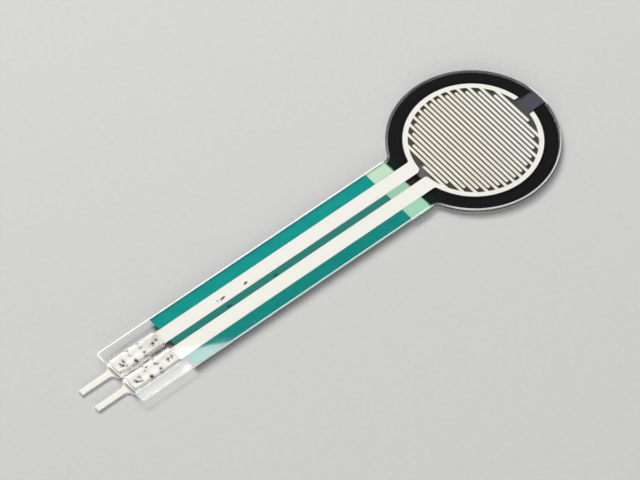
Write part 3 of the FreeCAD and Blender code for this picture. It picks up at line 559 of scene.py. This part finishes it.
# ---------------------------------------------------------------- solder tabs
# Two stamped brass tabs, tin plated. Their tines pierce the film from below and are curled over
# on top, tip to tip, so that they bite into the silver traces; a prong runs on to be soldered.
TIN_TONES, STAIN_TONE = ((0.690, 0.685, 0.645), (0.685, 0.665, 0.600)), (0.40, 0.365, 0.29)
BITE_OXIDE_AND_SHADE_TONE = (0.045, 0.040, 0.034)
tin = Finish("tinned_brass")
tin_place = tin.place()
tx, ty, tz = tin.axes(tin_place)
bite_oxide_and_shade = tin.node("Attribute", {"attribute_name": "bite_oxide_and_shade"}, output="Fac")
brushed = tin.noise(tin.stretched(tin_place, 0.6, 3.0, 3.0), 5.0, detail=4.0, roughness=0.6)
blotch = tin.noise(tin_place, 1.6, detail=4.0, roughness=0.6)
plating = tin.blend(blotch.step(0.35, 0.65), *TIN_TONES)
# The back tines are stained where the plating has worn, the left tab's more than the right's.
stained = tx.step(-43.3, -42.8) * tz.step(0.56, 0.60) * (0.25 + blotch.step(0.45, 0.6) * 0.4)
stained = stained * (0.3 + ty.step(-0.2, 0.2) * 0.7)
plating = tin.blend(stained, plating, STAIN_TONE)
# Where the tool bit in, the colour goes dark: partly bare metal, partly painted shade in the pits,
# creases and eyes.
tin_metal = tin.surface(tin.node("BsdfPrincipled", None, {
    "Base Color": tin.blend((bite_oxide_and_shade * 1.5).least(1.0), plating, BITE_OXIDE_AND_SHADE_TONE),
    "Metallic": 0.05,
    "Specular IOR Level": 0.3,
    "Roughness": 0.42 + brushed * 0.14 + bite_oxide_and_shade * 0.3,
    "Normal": tin.bump(brushed, 0.2, 0.01 * MM),
}))

TAB_FRONT, TAB_BACK, TAB_HALF, TAB_THICK = -47.22, -41.0, 1.0025, 0.2
PRONG_TIP, PRONG_HALF, FLARE = -51.2, 0.36, 0.64
RIB_FRONT, RIB_BACK, RIB_HALF, RIB_BOTTOM, RIB_TOP = -46.7, -41.1, 0.65, 0.15, 0.406
TIP_ROUND, FRONT_ROUND, BACK_ROUND, RIB_ROUND = 0.14, 0.03, 0.06, 0.1
ROLLED, BURR = 0.06, 0.015
# Each pair of tines, from the front: its foot's ends, its head's ends, and its swell.
TINES = (
    ((-46.7, -44.8), (-46.90, -44.56), {"left": 1.0, "right": 0.3}),
    ((-44.4, -43.4), (-44.72, -43.26), {"left": 0.2, "right": 0.2}),
    ((-43.0, -41.1), (-43.42, -41.04), {"left": 0.0, "right": 0.0}),
)
TINE_THICK, TINE_TOP, TINE_CURL, TINE_DIP, TINE_LEAN = 0.15, 0.802, 0.145, 0.03, 0.16
# A tine's stem goes up from ROOT in the plate, and its head is at full width within HEAD_HALF of
# the middle. From PIERCED up, in the film, it is more and more set back, leant over and rippled.
ROOT, STEM, HEAD_HALF, PIERCED = 0.12, 0.45, 0.42, 0.50
HEAD_SAG, BITE_DROP, RIPPLE, SET_BACK, SWELL_REACH = 0.09, 0.07, 0.008, 0.15, 0.42

# Where the crimping tool bit through the plating, as x, y from the tab's middle, reach along and
# across, and depth: the front eye's broken ring, the creases between the tines, the back eye. Each
# dips the surface and darkens its colour, partly as bare metal and partly as painted shade; the one
# at the left tab's front inner corner is painted shade only.
LEFT_BITES_AND_SHADE = np.array([
    (-46.06, -0.33, 0.19, 0.19, 0.85), (-46.19, -0.05, 0.10, 0.24, 0.78),
    (-46.31, -0.40, 0.14, 0.12, 0.39), (-45.80, -0.58, 0.20, 0.16, 0.48),
    (-45.73, 0.05, 0.14, 0.29, 0.68), (-46.82, -1.00, 0.20, 0.16, 1.00),
    (-44.66, -0.66, 0.14, 0.15, 1.00), (-44.60, -0.90, 0.14, 0.17, 1.00),
    (-44.78, 0.34, 0.12, 0.22, 0.34), (-43.33, -0.43, 0.15, 0.14, 0.80),
    (-43.56, -0.86, 0.12, 0.15, 0.46), (-43.30, 0.37, 0.18, 0.18, 0.40),
    (-42.03, -0.10, 0.20, 0.17, 0.92), (-41.48, 0.05, 0.12, 0.14, 1.00),
    (-42.13, -0.40, 0.14, 0.14, 0.40),
])
RIGHT_BITES_AND_SHADE = np.array([
    (-46.23, -0.21, 0.17, 0.23, 0.85), (-46.03, -0.39, 0.22, 0.13, 0.68),
    (-45.80, -0.51, 0.20, 0.19, 0.51), (-45.78, 0.21, 0.19, 0.14, 0.48),
    (-45.66, 0.04, 0.12, 0.24, 0.59), (-46.30, 0.03, 0.14, 0.19, 0.59),
    (-44.66, -0.71, 0.18, 0.20, 1.00), (-44.80, 0.39, 0.18, 0.12, 0.40),
    (-44.40, 0.70, 0.14, 0.14, 0.69), (-43.42, 0.44, 0.13, 0.13, 1.00),
    (-43.22, 0.25, 0.14, 0.12, 0.52), (-43.33, -0.51, 0.14, 0.15, 0.80),
    (-43.60, -0.86, 0.14, 0.14, 0.40), (-42.05, -0.01, 0.17, 0.14, 1.00),
    (-41.55, 0.04, 0.12, 0.15, 0.92), (-42.18, -0.31, 0.14, 0.21, 0.46),
    (-41.68, -0.21, 0.12, 0.18, 0.40),
])


def bite_depth(bites_and_shade, x, y):
    """How far the tool bit in at each point, 0 to 1: the greatest of round dips that fall off as a
    bell does. The same share darkens the tabs' colour, partly as bare metal, partly as painted
    shade."""
    off_x = (x[..., None] - bites_and_shade[:, 0]) / bites_and_shade[:, 2]
    off_y = (y[..., None] - bites_and_shade[:, 1]) / bites_and_shade[:, 3]
    return (bites_and_shade[:, 4] * np.exp(-off_x ** 2 - off_y ** 2)).max(axis=-1)


def rounded_outline(corners):
    """An anticlockwise outline from corners as (x, y, radius), each rounded by an arc, with its
    outward unit normals: the normal turns from one side's to the next side's along each arc."""
    spots = np.array(corners)
    points, normals = [], []
    for before, spot, after in zip(np.roll(spots, 1, 0), spots, np.roll(spots, -1, 0)):
        come, go = spot[:2] - before[:2], after[:2] - spot[:2]
        come, go = come / np.linalg.norm(come), go / np.linalg.norm(go)
        turn = math.atan2(come[0] * go[1] - come[1] * go[0], come @ go)
        out = np.array((come[1], -come[0]))
        bulge = math.copysign(spot[2], turn)
        centre = spot[:2] - come * spot[2] * math.tan(abs(turn) / 2) - bulge * out
        steps = np.linspace(0.0, turn, 10)
        swung = np.stack((out[0] * np.cos(steps) - out[1] * np.sin(steps),
                          out[0] * np.sin(steps) + out[1] * np.cos(steps)), axis=1)
        points.append(centre + bulge * swung)
        normals.append(swung)
    return np.concatenate(points), np.concatenate(normals)


def tine_line():
    """The middle line of two tines that meet tip to tip, as y and z at even steps, with its
    direction: up through the film, over in a quarter round, in and down to the middle as the
    squared sine of the way, and out the same way."""
    quarter, inward = np.linspace(0.0, math.pi / 2, 9), np.linspace(0.0, 1.0, 25)[1:]
    arm, crown = TAB_HALF - TINE_THICK / 2, TINE_TOP - TINE_THICK / 2
    half_y = np.concatenate((
        [arm, arm], arm - TINE_CURL + TINE_CURL * np.cos(quarter), (arm - TINE_CURL) * (1 - inward),
    ))
    half_z = np.concatenate((
        [ROOT, STEM], crown - TINE_CURL + TINE_CURL * np.sin(quarter),
        crown - TINE_DIP * np.sin(inward * math.pi / 2) ** 2,
    ))
    line_y = np.concatenate((-half_y, half_y[-2::-1]))
    line_z = np.concatenate((half_z, half_z[-2::-1]))
    length = np.concatenate(([0.0], np.cumsum(np.hypot(np.diff(line_y), np.diff(line_z)))))
    at = np.linspace(0.0, length[-1], 120)
    y, z = (np.interp(at, length, line) for line in (line_y, line_z))
    way = [np.interp(at, length, np.gradient(line, length)) for line in (line_y, line_z)]
    way_y, way_z = way / np.hypot(*way)
    return (column[:, None] for column in (y, z, way_y, way_z))


def tine_pair(foot, head, swell, bites_and_shade):
    """Two tines that meet tip to tip, as one strip swept from edge to edge of the plate. From its
    foot's ends to its head's the strip widens as an ellipse does. Its section is a flat oval, each
    half a fourth-power arch, and its corners sag as the cube of the way from the middle. Above the
    film it stands back, but for the swell, a bell that the curl's middle stands out by, and its
    top leans towards -Y, as the crimping tool pushed it."""
    y, z, way_y, way_z = tine_line()
    across = np.sin(np.linspace(-math.pi / 2, math.pi / 2, 81))
    arch = TINE_THICK / 2 * (1 - np.abs(across) ** 4) ** 0.25
    share = np.concatenate((across, across[-2:0:-1]))[None, :]
    lift = np.concatenate((arch, -arch[-2:0:-1]))[None, :]
    arm = TAB_HALF - TINE_THICK / 2
    widen = np.sqrt(1 - np.clip((np.abs(y) - HEAD_HALF) / (arm - HEAD_HALF), 0, 1) ** 2)
    start, stop = (foot[i] + (head[i] - foot[i]) * widen for i in (0, 1))
    middle = (start + stop) / 2
    x = middle + (stop - start) / 2 * share
    above = np.clip((z - PIERCED) / 0.2, 0, 1)
    # The bite share dips the surface and darkens its colour, partly as painted shade.
    bite_and_shade = bite_depth(bites_and_shade, x, y + 0 * x) * above * (lift > -0.01)
    bell = swell * np.exp(-((x - middle) / SWELL_REACH) ** 2)
    ripple = RIPPLE * np.sin(3.1 * x + 4.7 * y) * np.sin(4.3 * x - 3.3 * y)
    sunk = HEAD_SAG * np.abs(share) ** 3 + BITE_DROP * bite_and_shade
    swept_y = (y - way_z * lift) * (1 - SET_BACK * above * (1 - bell)) - TINE_LEAN * above
    swept_z = z + way_y * lift + above * (ripple - sunk)
    points = np.stack((x, swept_y, swept_z), axis=2).reshape(-1, 3)
    return points, *ring_faces(len(y), share.shape[1]), bite_and_shade.reshape(-1)


def stamped_edge(bottom, top):
    """The edge of a stamped strip, as (inset, height): a burr below, a rolled corner above."""
    bend = np.linspace(0, math.pi / 2, 6)
    inset, height = ROLLED - ROLLED * np.cos(bend), top - ROLLED + ROLLED * np.sin(bend)
    return np.concatenate(([(BURR, bottom), (0.0, bottom + BURR)], np.stack((inset, height), 1)))


blank, blank_out = rounded_outline([
    (PRONG_TIP, -PRONG_HALF, TIP_ROUND), (TAB_FRONT, -PRONG_HALF, FLARE),
    (TAB_FRONT, -TAB_HALF, FRONT_ROUND), (TAB_BACK, -TAB_HALF, BACK_ROUND),
    (TAB_BACK, TAB_HALF, BACK_ROUND), (TAB_FRONT, TAB_HALF, FRONT_ROUND),
    (TAB_FRONT, PRONG_HALF, FLARE), (PRONG_TIP, PRONG_HALF, TIP_ROUND),
])
rib, rib_out = rounded_outline([
    (RIB_FRONT, -RIB_HALF, RIB_ROUND), (RIB_BACK, -RIB_HALF, RIB_ROUND),
    (RIB_BACK, RIB_HALF, RIB_ROUND), (RIB_FRONT, RIB_HALF, RIB_ROUND),
])
for label, side, bites_and_shade in (("left", 1, LEFT_BITES_AND_SHADE), ("right", -1, RIGHT_BITES_AND_SHADE)):
    shift = np.array((0.0, side * TRACE_PITCH / 2))
    parts = [cut_sheet(blank + shift, blank_out, stamped_edge(0.0, TAB_THICK)),
             cut_sheet(rib + shift, rib_out, stamped_edge(RIB_BOTTOM, RIB_TOP))]
    shares = [np.zeros(len(part[0])) for part in parts]
    for tine_foot, tine_head, swell in TINES:
        points, quads, caps, bite_and_shade = tine_pair(tine_foot, tine_head, swell[label], bites_and_shade)
        parts.append(((points + np.array((0, shift[1], 0))) * MM, quads, caps))
        shares.append(bite_and_shade)
    tab = new_piece(f"{label}_solder_tab_strip", parts, shares, "bite_oxide_and_shade")
    tab.data.materials.append(tin_metal)
    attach(tab, "root")
    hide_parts(f"{label}_solder_tab")
